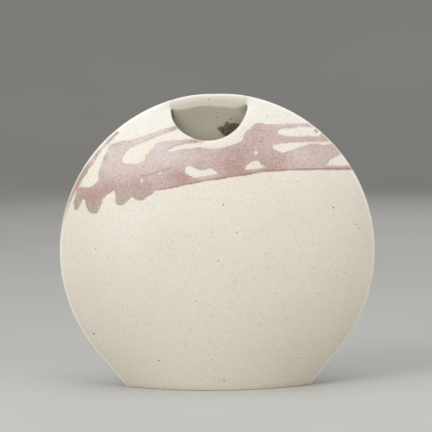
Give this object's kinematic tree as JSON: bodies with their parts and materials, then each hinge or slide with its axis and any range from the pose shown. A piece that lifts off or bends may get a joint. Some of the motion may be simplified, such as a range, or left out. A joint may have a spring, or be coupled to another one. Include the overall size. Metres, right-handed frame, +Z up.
{
  "type": "pillow vase",
  "caption": "Flat-bodied stoneware vase, round from the front and lens-shaped in plan, with a half-round mouth cut in its front wall to hold stems.",
  "frame": {"origin": "centre of the foot, on the surface that the vase stands on", "axes": "+Z up, +X to the right along the joint seen from the front, -Y out of the front wall, where the mouth is"},
  "size_m": [0.3, 0.09, 0.279],
  "materials": {
    "cream_glaze": "satin cream glaze with iron specks and a poured mauve band",
    "bare_stoneware": "unglazed buff stoneware",
    "inner_glaze": "thin cream glaze"
  },
  "bodies": {
    "root": {"front_wall": "cream_glaze", "rear_wall": "cream_glaze", "floor_slab": "bare_stoneware", "left_seam_coil": "inner_glaze", "right_seam_coil": "inner_glaze", "front_floor_coil": "inner_glaze", "rear_floor_coil": "inner_glaze"}
  },
  "joints": []
}
